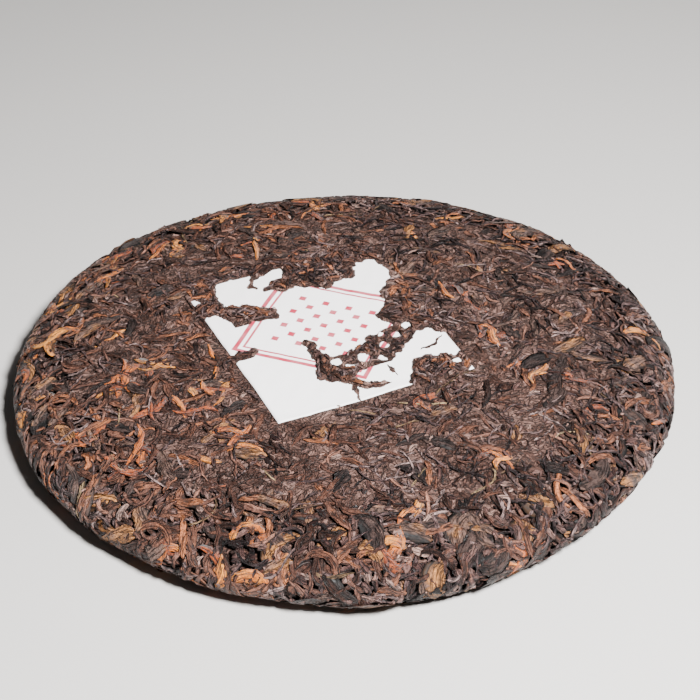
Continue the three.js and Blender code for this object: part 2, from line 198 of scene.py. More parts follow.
def make_core():
    rows = int(whole_reach / CORE_STEP)
    columns = int(2 * math.pi * CAKE_RADIUS / CORE_STEP)
    s = np.linspace(0, whole_reach, rows + 1)[1:-1]
    azimuth = np.linspace(0, 2 * math.pi, columns, endpoint=False)
    s, azimuth = np.meshgrid(s, azimuth, indexing="ij")
    point, outward, _ = on_skin(s, azimuth)
    point = point - outward * core_depth(point)[..., None]
    poles = np.array([[0, 0, TOP_HEIGHT - CORE_DEPTH], [0, 0, DIMPLE_DEPTH + CORE_DEPTH]])
    vertices = np.concatenate([wavy_outline(point).reshape(-1, 3), poles])
    number = np.arange(len(vertices) - 2).reshape(s.shape)
    beside = np.roll(number, -1, axis=1)
    quads = np.stack([number[:-1], number[1:], beside[1:], beside[:-1]], -1).reshape(-1, 4)
    top, bottom = len(vertices) - 2, len(vertices) - 1
    caps = [
        np.stack([np.full(columns, top), number[0], beside[0]], 1),
        np.stack([np.full(columns, bottom), beside[-1], number[-1]], 1),
    ]
    loops = np.concatenate([quads.ravel(), caps[0].ravel(), caps[1].ravel()])
    sizes = np.concatenate([np.full(len(quads), 4), np.full(2 * columns, 3)])
    return mesh_piece("tea_core", vertices, loops, sizes, {})


def linear(code):
    """A colour given as an sRGB hex code, turned to the linear values that Blender's shaders take."""
    parts = [int(code[i : i + 2], 16) / 255 for i in (1, 3, 5)]
    return [p / 12.92 if p <= 0.04045 else ((p + 0.055) / 1.055) ** 2.4 for p in parts] + [1.0]


def add_node(material, kind, inputs=(), **settings):
    """Adds a node. Settings name its properties or input sockets, and inputs pairs a socket with a
    value, with an output that feeds it or with a node whose first output does."""
    node = material.node_tree.nodes.new("ShaderNode" + kind)
    for key, value in settings.items():
        if hasattr(node, key):
            setattr(node, key, value)
        else:
            node.inputs[key.replace("_", " ")].default_value = value
    for socket, source in inputs:
        if isinstance(source, bpy.types.Node):
            source = source.outputs[0]
        if isinstance(source, bpy.types.NodeSocket):
            material.node_tree.links.new(source, node.inputs[socket])
        else:
            node.inputs[socket].default_value = source
    return node


def spread_tones(ramp, codes):
    """Spreads colours evenly over a colour ramp."""
    while len(ramp.elements) < len(codes):
        ramp.elements.new(0.5)
    for i, code in enumerate(codes):
        ramp.elements[i].position = i / (len(codes) - 1)
        ramp.elements[i].color = linear(code)


def new_material(name):
    """A material without nodes, and the function that adds them to it."""
    material = bpy.data.materials.new(name)
    material.use_nodes = True
    material.node_tree.nodes.clear()
    return material, partial(add_node, material)


def pressed_dust():
    """Packed tea dust and broken leaf: dark brown bits of four or five millimetres, each with the
    strands of its leaf lying its own way. Painted shade darkens the creases between the bits and the
    hollows of the strands, and painted light brightens the strands' ridges."""
    material, add = new_material("pressed tea dust")
    metres = add("TexCoord").outputs["Object"]
    place = add("VectorMath", [("Vector", metres)], operation="SCALE", Scale=1 / MM)
    wander = add("TexNoise", [("Vector", place)], Scale=0.2, Detail=3.0).outputs["Color"]
    drawn_out = add("VectorMath", [(0, place), (1, (0.19, 0.3, 0.3))], operation="MULTIPLY")
    bent = add(
        "VectorMath", [(0, wander), (1, (4.0, 4.0, 4.0)), (2, drawn_out)], operation="MULTIPLY_ADD"
    )
    bits = add("TexVoronoi", [("Vector", bent)], feature="F1", Scale=1.0)
    borders = add("TexVoronoi", [("Vector", bent)], feature="DISTANCE_TO_EDGE", Scale=1.0)
    lot = add("SeparateColor", [("Color", bits.outputs["Color"])])
    angle = add("Math", [(0, lot), (1, FULL_TURN)], operation="MULTIPLY")
    turned = add("VectorRotate", [("Vector", place), ("Angle", angle)], rotation_type="Z_AXIS")
    stretched = add("VectorMath", [(0, turned), (1, (2.0, 0.45, 1.5))], operation="MULTIPLY")
    strands = add("TexNoise", [("Vector", stretched)], Scale=1.0, Detail=4.0)
    colour = add("ValToRGB", [("Fac", lot.outputs[1])])
    spread_tones(colour.color_ramp, ["#301d17", "#4d3730", "#684f47"])
    # Painted shade: darker at the creases between bits, and lighter on the strands' ridges than in their
    # hollows, following the bump's height.
    crease = add("MapRange", [("Value", borders)], From_Min=0.0, From_Max=0.11, To_Min=0.2, To_Max=1.05)
    ridge = add("MapRange", [("Value", strands)], From_Min=0.36, From_Max=0.64, To_Min=0.35, To_Max=1.7)
    height = add("Math", [(0, ridge), (1, crease)], operation="MULTIPLY")
    shaded = add("VectorMath", [("Vector", colour), ("Scale", height)], operation="SCALE")
    bump = add("Bump", [("Height", height)], Strength=1.0, Distance=0.0006)
    shader = add(
        "BsdfPrincipled", [("Base Color", shaded), ("Normal", bump)],
        Roughness=0.5, IOR=1.45, Specular_IOR_Level=0.35,
    )
    add("OutputMaterial", [("Surface", shader)])
    return material


core = make_core()
tea_dust = pressed_dust()
core.data.materials.append(tea_dust)
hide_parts("tea_cake")
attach(core, "root")

# The leaves: steamed whole leaves, buds and bits of stem, twisted and rolled in the making and
# then pressed into each other in a cloth bag. Those on top are pressed flat, and those round the
# edge keep their curls. Each kind is one piece, with every leaf a closed solid of its own.

# A kind's sizes are ranges in millimetres. Ribs are the number of ridges round a leaf and how much
# they stand out, turns is how often it is twisted from end to end, cup how far its sides curl up,
# blunt how late it tapers, and bend how sharply its line curves. Strays are leaves that lie in any
# direction, and right is about how many lie on the right half for each one on the left.
KINDS = {
    "twisted_leaves": dict(
        count=2700, ring=5, length=(5, 13), width=(0.7, 1.35), thick=(0.6, 0.95),
        ribs=(2, 0.2), turns=1.6, cup=0.0, blunt=5, bend=0.09,
        tones=["#150d0d", "#352828", "#5a4644", "#87706c"], rough=0.4, strays=False, right=1.6,
    ),
    "rolled_leaves": dict(
        count=2450, ring=5, length=(5, 12), width=(0.7, 1.45), thick=(0.6, 0.95),
        ribs=(2, 0.18), turns=0.9, cup=0.1, blunt=4, bend=0.1,
        tones=["#1a0d0a", "#3b251e", "#5b3d33", "#81594a"], rough=0.43, strays=False, right=0.8,
    ),
    "folded_leaves": dict(
        count=1500, ring=7, length=(5, 13), width=(1.1, 2.2), thick=(0.45, 0.7),
        ribs=(4, 0.16), turns=0.25, cup=0.5, blunt=4, bend=0.07,
        tones=["#1f100b", "#402820", "#623f31", "#915738"], rough=0.43, strays=False, right=0.6,
    ),
    "broken_leaves": dict(
        count=2300, ring=6, length=(2.0, 4.6), width=(0.9, 1.9), thick=(0.35, 0.6),
        ribs=(3, 0.2), turns=0.2, cup=0.3, blunt=2.6, bend=0.08,
        tones=["#1a0d0c", "#3e2a27", "#624943", "#8a6e64"], rough=0.42, strays=False, right=1.3,
    ),
    "broad_leaves": dict(
        count=620, ring=8, length=(7, 14), width=(2.3, 5.0), thick=(0.4, 0.6),
        ribs=(4, 0.1), turns=0.15, cup=0.4, blunt=2.4, bend=0.05,
        tones=["#1d1514", "#3a2c28", "#5c463d", "#8a5c36"], rough=0.45, strays=True, right=1.0,
    ),
    "golden_tips": dict(
        count=480, ring=8, length=(7, 17), width=(1.4, 3.3), thick=(0.6, 1.0),
        ribs=(3, 0.2), turns=0.45, cup=0.3, blunt=2.2, bend=0.11,
        tones=["#4c1c05", "#883a0a", "#aa5712", "#bc7424"], rough=0.46, sheen=0.1, strays=True, right=0.5,
    ),
    "stems": dict(
        count=110, ring=5, length=(7, 16), width=(0.55, 0.9), thick=(0.5, 0.8),
        ribs=(2, 0.05), turns=0.3, cup=0.0, blunt=8, bend=0.05,
        tones=["#3c2b24", "#57432f", "#7a6148", "#9a8260"], rough=0.5, strays=True, right=1.0,
    ),
    "crumbs": dict(
        count=2700, ring=5, length=(0.9, 2.6), width=(0.5, 1.1), thick=(0.4, 0.8),
        ribs=(2, 0.1), turns=0.2, cup=0.0, blunt=3, bend=0.1,
        tones=["#1e0f0d", "#412b26", "#694c43", "#967468"], rough=0.4, strays=True, right=1.2,
    ),
}
# Points along a leaf and round it: most are for the leaves that lie on top.
STATIONS = 10
STATIONS_BELOW = 7
RING_BELOW = 5
STATIONS_OF_BITS = {"crumbs": 4, "broken_leaves": 6}
SHARPEST_TURN = 2.6  # the most that a leaf's line turns from end to end, in radians
WAG = 1.3  # how sharply a leaf's line waves to and fro, in shares of its kind's bend
WAG_TURN = 3.1  # how far through a wave it gets from its middle to each end, in radians
# What the edge adds to leaves where it is craggiest, and how thin the press leaves those on top.
EDGE_LONGER = 0.25
EDGE_WIDER = 0.6
EDGE_THICKER = 0.37
EDGE_CURLIER = 2.2
TOP_THICKNESS = 0.88
# How wide a leaf is along its line, in shares of its width: unevenly, and narrow at both ends.
TAPER_UNEVENNESS = 0.14
TAPER_LIMITS = (0.12, 1.3)
TAPER_AT_STALK = (0.08, 0.35)
TAPER_AT_TIP = (0.06, 0.2)
LEAST_SHOWN = 4  # a leaf of which fewer cells of the map show is left out
CELL = 0.6
MAP_SIDE = 2 * int(whole_reach / 2 / CELL + 6)  # with a few cells to spare
ACROSS = np.linspace(-1, 1, 5)
# How densely leaves lie on the underside and on the top, and how much more the edge has.
UNDERSIDE_SHARE = 0.34
TOP_SHARE = 0.5
EDGE_ADDS = 0.7
IN_BUNCH = 3  # golden tips come in bunches of about this many
BUNCH_SPREAD = 2.2
WARMER_LEFT = 0.05
DRIFT_SIZE = 34  # neighbouring leaves lie about one way, which changes over this many millimetres
DRIFT_TURN = 1.6 * math.pi
DRIFT_SPREAD = 0.6
PATCH_SIZE = 17  # and they are of about one tone, which changes over this many
PATCH_TONE = 0.25
OWN_TONE = 0.2
EDGE = (76, 126)  # the skin's lengths from the top's middle between which the edge is craggy
EDGE_RISES_OVER = 22
EDGE_ENDS_OVER = 10
SPARSE_FROM = EDGE[1] - 2  # beyond this, leaves lie as thinly as on the underside
FOOT_FROM = EDGE[1] + 2  # beyond this, the ceiling of the leaves is the skin itself

draw = np.random.default_rng(357)


def map_places(s, azimuth):
    """Places on two flat maps of the skin, one round the top's middle and one round the dimple's."""
    below = s > whole_reach / 2
    out = np.where(below, whole_reach - s, s)
    return below, np.stack([out * np.cos(azimuth), out * np.sin(azimuth)], -1)


def map_cells(below, flat):
    cell = np.clip((flat / CELL + MAP_SIDE / 2).astype(int), 0, MAP_SIDE - 1)
    return (below * MAP_SIDE + cell[..., 1]) * MAP_SIDE + cell[..., 0]


def start_pile():
    """The height of what lies on the skin, for each cell of the two maps: at first, the core."""
    axis = (np.arange(MAP_SIDE) - MAP_SIDE / 2 + 0.5) * CELL
    y, x = np.meshgrid(axis, axis, indexing="ij")
    out = np.hypot(x, y)
    heights = []
    for s in (out, whole_reach - out):
        point, _, _ = on_skin(np.clip(s, 0, whole_reach), np.arctan2(y, x))
        heights.append(-core_depth(point))
    return np.stack(heights).ravel()


def edge_share(s):
    """How much a place belongs to the edge, from 0 on the top and the foot to 1."""
    share = np.minimum((s - EDGE[0]) / EDGE_RISES_OVER, (EDGE[1] - s) / EDGE_ENDS_OVER)
    return np.clip(share, 0, 1)


def leaned(azimuth, right):
    """Moves some places across to the other half of the cake. Right says about how many end up on
    the right for each one on the left."""
    stays = np.where(np.cos(azimuth) > 0, min(right, 1), min(1 / right, 1))
    return np.where(draw.uniform(size=len(azimuth)) > stays, math.pi - azimuth, azimuth)


def places_over_skin(count, right):
    """Random places, denser round the edge than on the top and thinner on the underside."""
    density = np.where(reach > SPARSE_FROM, UNDERSIDE_SHARE, TOP_SHARE + EDGE_ADDS * edge_share(reach))
    weight = np.cumsum(density * (profile[:, 0] + 0.3) * np.gradient(reach))
    s = np.interp(draw.uniform(0, weight[-1], count), weight, reach)
    return s, leaned(draw.uniform(-math.pi, math.pi, count), right)


def bunched_places(count, right):
    """Random places in bunches, each bunch a few millimetres across."""
    bunches = -(-count // IN_BUNCH)
    s, azimuth = places_over_skin(bunches, right)
    point, _, _ = on_skin(np.repeat(s, IN_BUNCH)[:count], np.repeat(azimuth, IN_BUNCH)[:count])
    return nearest_on_skin(point + draw.normal(size=point.shape) * BUNCH_SPREAD)


def walk_over_skin(middle, forward, step, curl, wag, stations):
    """Follows the lines of leaves over the skin, from their middles to both ends. For each station
    it gives the skin's length there, the place, the way out of the cake and the way along."""
    share = np.linspace(-1, 1, stations)
    lengths = np.zeros((len(middle), stations))
    paths = np.zeros((len(middle), stations, 3, 3))
    halves = [(range(stations // 2, stations), 1), (range(stations // 2 - 1, -1, -1), -1)]
    for order, way in halves:
        here, ahead = middle.copy(), forward * way
        if way < 0:
            here = here + ahead * step[:, None]
        for i in order:
            at_length, at_azimuth = nearest_on_skin(here)
            place, out, _ = on_skin(at_length, at_azimuth)
            ahead = ahead - out * (ahead * out).sum(1)[:, None]
            turn = (curl * way + wag * math.sin(WAG_TURN * share[i]) * way) * step
            ahead = ahead + np.cross(out, ahead) * turn[:, None]
            ahead /= np.linalg.norm(ahead, axis=1)[:, None]
            lengths[:, i] = at_length
            paths[:, i] = np.stack([place, out, ahead * way], 1)
            here = place + ahead * step[:, None]
    return lengths, paths


def uneven_taper(blunt, count, stations):
    """How wide leaves are at their stations: blunt in the middle and narrow at the ends."""
    taper = (1 - np.abs(np.linspace(-1, 1, stations)) ** blunt) ** 0.5
    taper = taper * (1 + TAPER_UNEVENNESS * draw.normal(size=(count, stations)))
    taper = np.clip(taper, *TAPER_LIMITS)
    taper[:, 0] = draw.uniform(*TAPER_AT_STALK, count)
    taper[:, -1] = draw.uniform(*TAPER_AT_TIP, count)
    return taper


def cells_below(beside):
    """The cells of the maps that leaves lie over, at their stations and halfway between them."""
    below, flat = map_places(*nearest_on_skin(beside))
    fine = np.repeat(flat, 2, axis=1)[:, :-1]
    same_map = (below[:, :-1] == below[:, 1:])[..., None]
    fine[:, 1::2] = np.where(same_map, (flat[:, :-1] + flat[:, 1:]) / 2, flat[:, :-1])
    return map_cells(np.repeat(below, 2, axis=1)[:, :-1], fine)


def leaves_so_far():
    return sum(leaves["count"] for leaves in all_leaves)


def new_leaves(kind, count, s, azimuth, size=1.0, is_below=False):
    """Leaves of one kind at these places: their sizes, their looks and the lines they follow."""
    make = KINDS[kind]
    stations = STATIONS_OF_BITS.get(kind, STATIONS_BELOW if is_below else STATIONS)
    craggy = edge_share(s)
    length = draw.uniform(*make["length"], count) * size * (1 + EDGE_LONGER * craggy)
    width = draw.uniform(*make["width"], count) * (0.5 + 0.5 * size) * (1 + EDGE_WIDER * craggy)
    thick = draw.uniform(*make["thick"], count) * (TOP_THICKNESS + EDGE_THICKER * craggy)
    curl = draw.normal(size=count) * make["bend"] * (1 + EDGE_CURLIER * craggy)
    curl = np.clip(curl, -SHARPEST_TURN / length, SHARPEST_TURN / length)
    wag = draw.normal(size=count) * make["bend"] * WAG
    point, outward, down = on_skin(s, azimuth)
    if make["strays"]:
        heading = draw.uniform(0, 2 * math.pi, count)
    else:
        heading = azimuth + DRIFT_TURN * lumps(point, DRIFT_SIZE, seed=51)
        heading += draw.normal(size=count) * DRIFT_SPREAD
    aside = np.cross(outward, down)
    forward = down * np.cos(heading)[:, None] + aside * np.sin(heading)[:, None]
    lengths, paths = walk_over_skin(point, forward, length / (stations - 1), curl, wag, stations)
    taper = uneven_taper(make["blunt"], count, stations)
    side = np.cross(paths[:, :, 1], paths[:, :, 2])
    half = (width[:, None] / 2 * taper)[:, :, None] * ACROSS
    beside = paths[:, :, 0][:, :, None] + side[:, :, None] * half[..., None]
    if make["strays"]:
        tone = draw.uniform(0, 1, count)
    else:
        tone = 0.5 + PATCH_TONE * lumps(point, PATCH_SIZE, seed=52)
        tone += OWN_TONE * draw.normal(size=count)
    leaves = dict(
        kind=kind, count=count, number=leaves_so_far() + np.arange(count),
        length=length, width=width, thick=thick, taper=taper, side=side, beside=beside,
        ring=RING_BELOW if is_below else make["ring"], s=lengths, paths=paths,
        cells=cells_below(beside), height=np.zeros((count, stations)),
        turns=draw.normal(size=count) * make["turns"],
        tone=tone - WARMER_LEFT * np.cos(azimuth) * np.minimum(s / CAKE_RADIUS, 1),
        seed=draw.uniform(0, 1000, count),
        laid=np.ones(count, bool), ceiling=np.zeros((count, stations)),
    )
    all_leaves.append(leaves)
    return leaves


# How a leaf lies on its bed, in shares of its thickness: how far its middle is over the bed, its
# top over its middle, and how much lower its sides and its tips are.
MIDDLE_OVER_BED = 0.4
TOP_OVER_MIDDLE = 0.36
SIDE_DROP = 0.3
TIP_DROP = 0.5
# A stiff leaf follows the mean of what is below five stations of it, with these weights.
SOFTEN = np.array([1, 3, 4, 3, 1]) / 12


def lay(leaves, i, pressed, ceiling):
    """Lays one leaf on the pile: it bends over what is below it, and no part of it stays above its
    ceiling by more than the press leaves. Each cell of the map keeps the number of its top leaf."""
    cells = leaves["cells"][i]
    below = pile[cells]
    bed = np.convolve(np.pad(below.max(1), 2, mode="edge"), SOFTEN, mode="valid")
    thick = leaves["thick"][i]
    middle = bed + MIDDLE_OVER_BED * thick
    middle -= np.maximum(middle + thick / 2 - ceiling - pressed, 0)
    taper = np.interp(np.arange(len(cells)) / 2, np.arange(len(cells[::2])), leaves["taper"][i])
    ends = TIP_DROP * thick * (1 - np.minimum(taper, 1))
    ridge = middle + TOP_OVER_MIDDLE * thick * taper - ends
    top = ridge[:, None] - SIDE_DROP * thick * np.abs(ACROSS)
    pile[cells] = np.maximum(below, top)
    top_leaf[cells[top > below]] = leaves["number"][i]
    leaves["height"][i] = (middle - ends)[::2]


# How high leaves may come over the skin: a little on the top, more in the edge, and unevenly.
# Those below the ticket stay under its height, out to a margin round it.
TOP_CEILING = 0.15
EDGE_ADDS_CEILING = 0.7
CEILING_UNEVENNESS = 0.25
CEILING_LUMPS = 14
CEILING_UNDER_TICKET = -0.95
TICKET_MARGIN = 1.2


def ceiling_over(leaves, under_ticket):
    """How high leaves may come over the skin, for their stations and halfway between them."""
    s = leaves["s"]
    point = leaves["paths"][:, :, 0]
    unevenness = CEILING_UNEVENNESS * lumps(point, CEILING_LUMPS, seed=21)
    height = TOP_CEILING + EDGE_ADDS_CEILING * edge_share(s) + unevenness
    height = np.where(s > FOOT_FROM, 0.0, height)
    if under_ticket:
        height = np.where(inside_ticket(point, TICKET_MARGIN) > 0, CEILING_UNDER_TICKET, height)
    fine = np.repeat(height, 2, axis=1)[:, :-1]
    fine[:, 1::2] = (height[:, :-1] + height[:, 1:]) / 2
    return fine


# How far over its ceiling the press leaves a leaf: the first laid and the last, for the leaves
# below the ticket and for those above, and how uneven it is.
LOWER_PRESS = (-0.75, -0.2)
UPPER_PRESS = (-0.28, 0.16)
PRESS_SPREAD = 0.12


def lay_all(batches, under_ticket, first_press, last_press):
    """Lays the leaves of several kinds in one random order, pressed less and less."""
    ceilings = [ceiling_over(leaves, under_ticket) for leaves in batches]
    for leaves, ceiling in zip(batches, ceilings):
        leaves["ceiling"] = ceiling[:, ::2]
    order = [(b, i) for b, leaves in enumerate(batches) for i in range(leaves["count"])]
    draw.shuffle(order)
    for rank, (b, i) in enumerate(order):
        if batches[b]["laid"][i]:
            press = first_press + (last_press - first_press) * rank / len(order)
            press += draw.normal() * PRESS_SPREAD
            lay(batches[b], i, press, ceilings[b][i])


pile = start_pile()
top_leaf = np.full(pile.shape, -1)
all_leaves = []
LOWER_PART = 0.3  # the share of each kind that is laid before the ticket
TICKET_HIDES = 3  # a leaf further than this inside the ticket's edges all along is left out
lower_batches = []
for kind, make in KINDS.items():
    if kind not in STATIONS_OF_BITS:
        count = int(make["count"] * LOWER_PART)
        leaves = new_leaves(kind, count, *places_over_skin(count, make["right"]), is_below=True)
        leaves["laid"] = inside_ticket(leaves["paths"][:, :, 0], -TICKET_HIDES).min(1) < 0
        lower_batches.append(leaves)
lay_all(lower_batches, True, *LOWER_PRESS)
below_ticket = pile.copy()

# The ticket: a small sheet of thin white paper, laid on the leaves before the pressing, so that it
# takes on their relief. Its print is worn and faded red: a plain lozenge frame round a lattice.
TICKET_STEP = 1.1
TICKET_SHEET = 0.16  # thicker than the real paper, so that its edge shows
FOLLOWED = (-2.4, -1.2, 0, 1.2, 2.4)  # it follows the mean of the leaves this far round each place
PAPER_OVER_LEAVES = 0.35
PAPER_HEIGHTS = (-0.45, 0.1)  # the lowest and highest that it lies over the skin
PAPER_WAVES = 0.05
PAPER_WAVE_SIZE = 4
FRAME_LINES = [(29.5, 0.85), (26.4, 0.35)]  # half of each lozenge's diagonal, half of its line
SMALL_LOZENGE_SPACING = 5.4
SMALL_LOZENGE_HALF = 1.3
SMALL_LOZENGES_REACH = 3.5 * SMALL_LOZENGE_SPACING
INK_BLEED = 0.35


def ticket_relief(point):
    """How high the paper lies over the skin: it follows the leaves below, smoothed by the press."""
    _, flat = map_places(*nearest_on_skin(point))
    on_top = np.zeros(point.shape[:-1], bool)
    total = np.zeros(point.shape[:-1])
    for x in FOLLOWED:
        for y in FOLLOWED:
            total += below_ticket[map_cells(on_top, flat + np.array((x, y)))]
    relief = total / len(FOLLOWED) ** 2 + PAPER_OVER_LEAVES
    return np.clip(relief, *PAPER_HEIGHTS) + PAPER_WAVES * lumps(point, PAPER_WAVE_SIZE, seed=31)


def ticket_point(across, along):
    """Places on the top for places on the ticket."""
    c, s = math.cos(TICKET_TURN), math.sin(TICKET_TURN)
    x = TICKET_CENTRE[0] + across * c - along * s
    y = TICKET_CENTRE[1] + across * s + along * c
    radius = np.hypot(x, y)
    dome = profile[:CROWN_POINTS]
    return np.stack([x, y, np.interp(radius, dome[:, 0], dome[:, 1])], -1)


def lift_pile(point, relief, spread):
    """Raises the pile to a sheet's height at these places of the top, and hides its leaves."""
    _, flat = map_places(*nearest_on_skin(point))
    for offset in ((-spread, 0), (spread, 0), (0, spread), (0, -spread)):
        cells = map_cells(np.zeros(relief.shape, bool), flat + np.array(offset))
        pile[cells] = relief
        top_leaf[cells] = -1


def grid_quads(number):
    """The faces between the points of a grid, numbered as given."""
    quads = [number[:-1, :-1], number[:-1, 1:], number[1:, 1:], number[1:, :-1]]
    return np.stack(quads, -1).reshape(-1, 4)


def make_ticket():
    columns, rows = (TICKET_SIZE / TICKET_STEP).astype(int)
    across = np.linspace(-TICKET_SIZE[0] / 2, TICKET_SIZE[0] / 2, columns + 1)
    along = np.linspace(-TICKET_SIZE[1] / 2, TICKET_SIZE[1] / 2, rows + 1)
    across, along = np.meshgrid(across, along, indexing="xy")
    point = ticket_point(across, along)
    relief = ticket_relief(point)
    faces = []
    for height in (relief, relief - TICKET_SHEET):
        lifted = point.copy()
        lifted[..., 2] += height
        faces.append(wavy_outline(lifted).reshape(-1, 3))
    lift_pile(point, relief, spread=0.4)
    count = len(faces[0])
    number = np.arange(count).reshape(across.shape)
    top = grid_quads(number)
    bottom = top[:, ::-1] + count
    rim = np.concatenate([number[0, :-1], number[:-1, -1], number[-1, :0:-1], number[:0:-1, 0]])
    after = np.roll(rim, -1)
    wall = np.stack([rim, rim + count, after + count, after], 1)
    quads = np.concatenate([top, bottom, wall])
    place = np.stack([across.ravel(), along.ravel(), np.zeros(count)], 1)
    attributes = {"sheet": np.concatenate([place, place])}
    sizes = np.full(len(quads), 4)
    return mesh_piece("ticket_paper", np.concatenate(faces), quads.ravel(), sizes, attributes)


def printed_paper():
    """Uncoated tissue-thin paper: matt white, with fibres that show as a faint mottle, and a worn
    print in one red ink."""
    material, add = new_material("uncoated paper")
    place = add("Attribute", attribute_name="sheet").outputs["Vector"]
    split = add("SeparateXYZ", [("Vector", place)])
    across = add("Math", [(0, split.outputs["X"])], operation="ABSOLUTE")
    along = add("Math", [(0, split.outputs["Y"])], operation="ABSOLUTE")
    out = add("Math", [(0, across), (1, along)], operation="ADD")
    # The frame is two lozenges, a strong one and a weak one inside it.
    inks = []
    for half_diagonal, half_line in FRAME_LINES:
        line = add("Math", [(0, out), (1, half_diagonal)], operation="SUBTRACT")
        inks.append((add("Math", [(0, line)], operation="ABSOLUTE"), half_line))
    # Inside it small lozenges stand in rows.
    folded = []
    for axis in ("X", "Y"):
        halfway = (1, SMALL_LOZENGE_SPACING / 2)
        folded.append(add("Math", [(0, split.outputs[axis]), halfway], operation="PINGPONG"))
    small = add("Math", [(0, folded[0]), (1, folded[1])], operation="ADD")
    beyond = add("Math", [(0, out), (1, SMALL_LOZENGES_REACH)], operation="GREATER_THAN")
    few = add("Math", [(0, beyond), (1, SMALL_LOZENGE_SPACING), (2, small)], operation="MULTIPLY_ADD")
    inks.append((few, SMALL_LOZENGE_HALF))
    ink = 0.0
    for distance, half_line in inks:
        line = add(
            "MapRange", [("Value", distance)],
            From_Min=half_line, From_Max=half_line + INK_BLEED, To_Min=1.0, To_Max=0.0,
        )
        ink = add("Math", [(0, ink), (1, line)], operation="MAXIMUM")
    # Some of the ink was rubbed away, in patches of a few millimetres.
    rubbed = add("TexNoise", [("Vector", place)], Scale=0.22, Detail=3.0)
    worn = add("MapRange", [("Value", rubbed)], From_Min=0.35, From_Max=0.65, To_Min=0.9, To_Max=1.0)
    strength = add("Math", [(0, ink), (1, worn)], operation="MULTIPLY")
    colours = [("Factor", strength), (6, linear("#f3efee")), (7, linear("#a01c36"))]
    colour = add("Mix", colours, data_type="RGBA")
    # The fibres are drawn 0.4 mm apart, coarser than real ones, so that they show.
    fibre = add("TexNoise", [("Vector", place)], Scale=2.5, Detail=5.0)
    bump = add("Bump", [("Height", fibre)], Strength=0.35, Distance=0.0001)
    shader = add(
        "BsdfPrincipled", [("Base Color", colour.outputs[2]), ("Normal", bump)],
        Roughness=0.9, IOR=1.45,
    )
    add("OutputMaterial", [("Surface", shader)])
    return material


ticket = make_ticket()
ticket.data.materials.append(printed_paper())
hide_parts("paper_ticket")
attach(ticket, "root")

# The leaves over the ticket: shaken on before the pressing, so that they hide its corners and one
# side and leave the rest bare, with small spots of paper between them. The outlines of what they
# hide are in millimetres across the ticket and along it, from its middle.
HIDDEN = {
    "tear": [
        (-9, -4), (-6, -6.5), (-7, -12.5), (-4, -16), (0, -16.5), (7, -14), (8.5, -11), (15.5, -9.5),
        (19, -8.5), (23, -5.5), (26.5, -9.5), (24.5, -14), (22, -16.5), (16, -21.5), (11, -25.5),
        (6.5, -25.5), (-1, -26.5), (-3, -28), (0.5, -32.5), (8, -35), (3, -36), (-2, -35),
        (-4.5, -31), (-13, -25), (-12.5, -21), (-10.5, -18), (-10, -6),
    ],
    "right_end": [
        (38, -29), (30, -30), (21.5, -27), (17.5, -27.5), (14.5, -31.5), (13.5, -35), (11, -38),
        (11.5, -39.5), (21.5, -53),
    ],
    "far_right": [
        (43.5, -18.5), (31, -18.5), (29.5, -16), (27, -13.5), (25, -14), (19.5, -8), (17.5, -5.5),
        (16, -1.5), (20.5, 0.5), (22.5, 5.5), (23, 9.5), (25, 11), (30, 16), (31.5, 21), (30, 25.5),
        (45, 32), (53, -1.5),
    ],
    "notch": [
        (-34, -4), (-30.5, -2.5), (-27.5, -2.5), (-23, -2), (-23, -4), (-26, -6.5), (-30, -6.5),
        (-34, -8),
    ],
    "left_end": [
        (-36.5, 25), (-33.5, 44), (-22, 34.5), (-23.5, 28), (-23.5, 21.5), (-18.5, 20), (-15, 18.5),
        (-12.5, 16), (-9.5, 14), (-11, 9), (-18, 10.5), (-22, 10), (-25, 10.5), (-25, 13.5),
        (-26.5, 16), (-27.5, 18.5), (-30.5, 19.5), (-32.5, 16), (-33.5, 19),
    ],
    "far_side": [
        (-33.5, 44), (-8, 52.5), (41.5, 39), (45, 32), (30, 25.5), (29, 28.5), (25, 28.5), (22, 26),
        (20.5, 22), (19, 20), (17, 21.5), (13.5, 21), (11, 18.5), (9, 18), (6, 21), (0.5, 23.5),
        (0.5, 26), (-1.5, 29.5), (0.5, 35), (-2.5, 35.5), (-6.5, 33), (-9.5, 32.5), (-9.5, 35),
        (-22, 34.5),
    ],
    "gap": [
        (-9.5, 35), (-9.5, 32.5), (-11.5, 28.5), (-7.5, 26.5), (-5.5, 30), (-1.5, 29.5), (0.5, 26),
        (0, 23.5), (-3.5, 21.5), (-7, 24.5), (-9, 24.5), (-13.5, 28.5),
    ],
}
# Thin slivers of leaf that lie across the bare paper, from point to point.
SLIVERS = [
    [(22, -23.5), (26.5, -23), (30, -19)],
    [(9, -26.5), (9.5, -33.5)],
    [(-4.5, -32), (-6, -39.5)],
]
SLIVER_HALF = 0.5
# Round spots of paper that stay bare among them, as (across, along, radius).
BARE_SPOTS = [
    (-31, 27.5, 1.5), (-10, 26.3, 1.3), (-4.5, -19, 1.7), (-1.5, -22.5, 1.4), (4, -20.5, 2.2),
    (9, -23, 1.5), (12.5, -17, 1.6), (14, -11.5, 1.3), (17.5, -13.5, 1.5), (22.5, -10, 1.7),
    (29, -33.5, 1.2),
]
RAGGED = 0.45  # how far the outlines are out of true, in lumps of this size
RAGGED_SIZE = 3
MASK_STEP = 0.25
MASK_HALF = 44.0
COVER_SOFTENINGS = 2


def inside_outline(points, outline):
    x, y = points[..., 0], points[..., 1]
    inside = np.zeros(x.shape, bool)
    for (x1, y1), (x2, y2) in zip(outline, outline[1:] + outline[:1]):
        crosses = (y1 > y) != (y2 > y)
        at = x1 + (x2 - x1) * (y - y1) / (y2 - y1 if y2 != y1 else 1e-9)
        inside ^= crosses & (x < at)
    return inside


